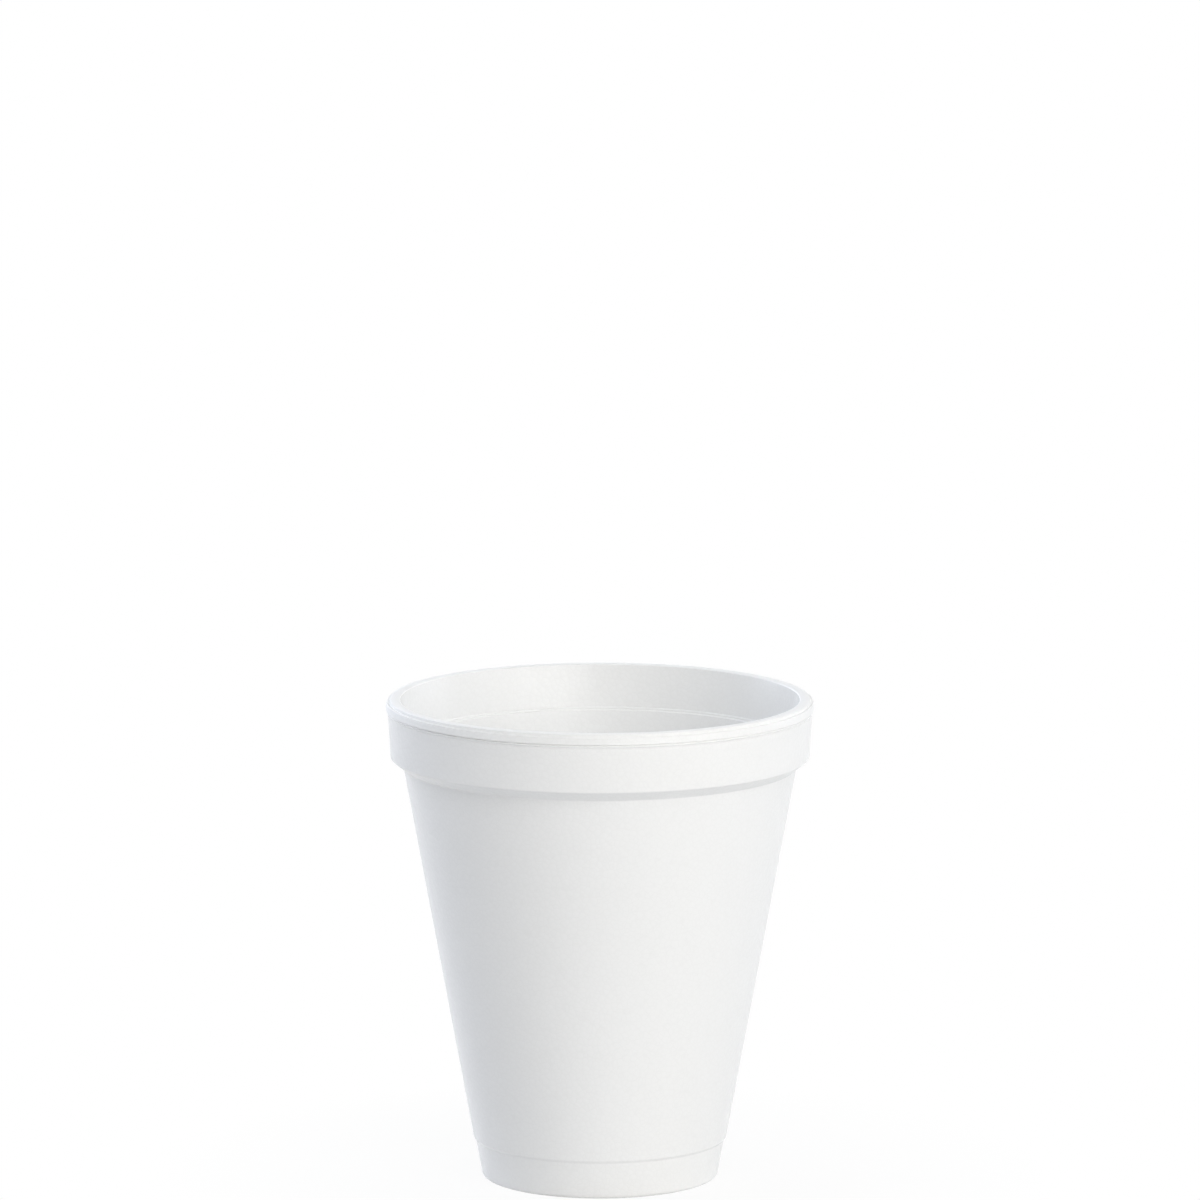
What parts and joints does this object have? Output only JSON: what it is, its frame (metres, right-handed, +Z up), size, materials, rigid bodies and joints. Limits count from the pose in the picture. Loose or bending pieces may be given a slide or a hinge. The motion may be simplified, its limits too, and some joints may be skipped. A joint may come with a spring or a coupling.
{
  "type": "foam cup",
  "caption": "Plain white moulded foam drinking cup with a tapered wall, a lid band under a rounded lip and a stepped foot.",
  "frame": {"origin": "centre of the foot ring, on the surface that the cup stands on", "axes": "+Z up along the cup's axis of revolution, from the foot to the open mouth"},
  "size_m": [0.094, 0.094, 0.1067],
  "materials": {
    "foam": "satin white bead foam with a faint fine grain"
  },
  "bodies": {
    "root": {"cup": "foam"}
  },
  "joints": []
}
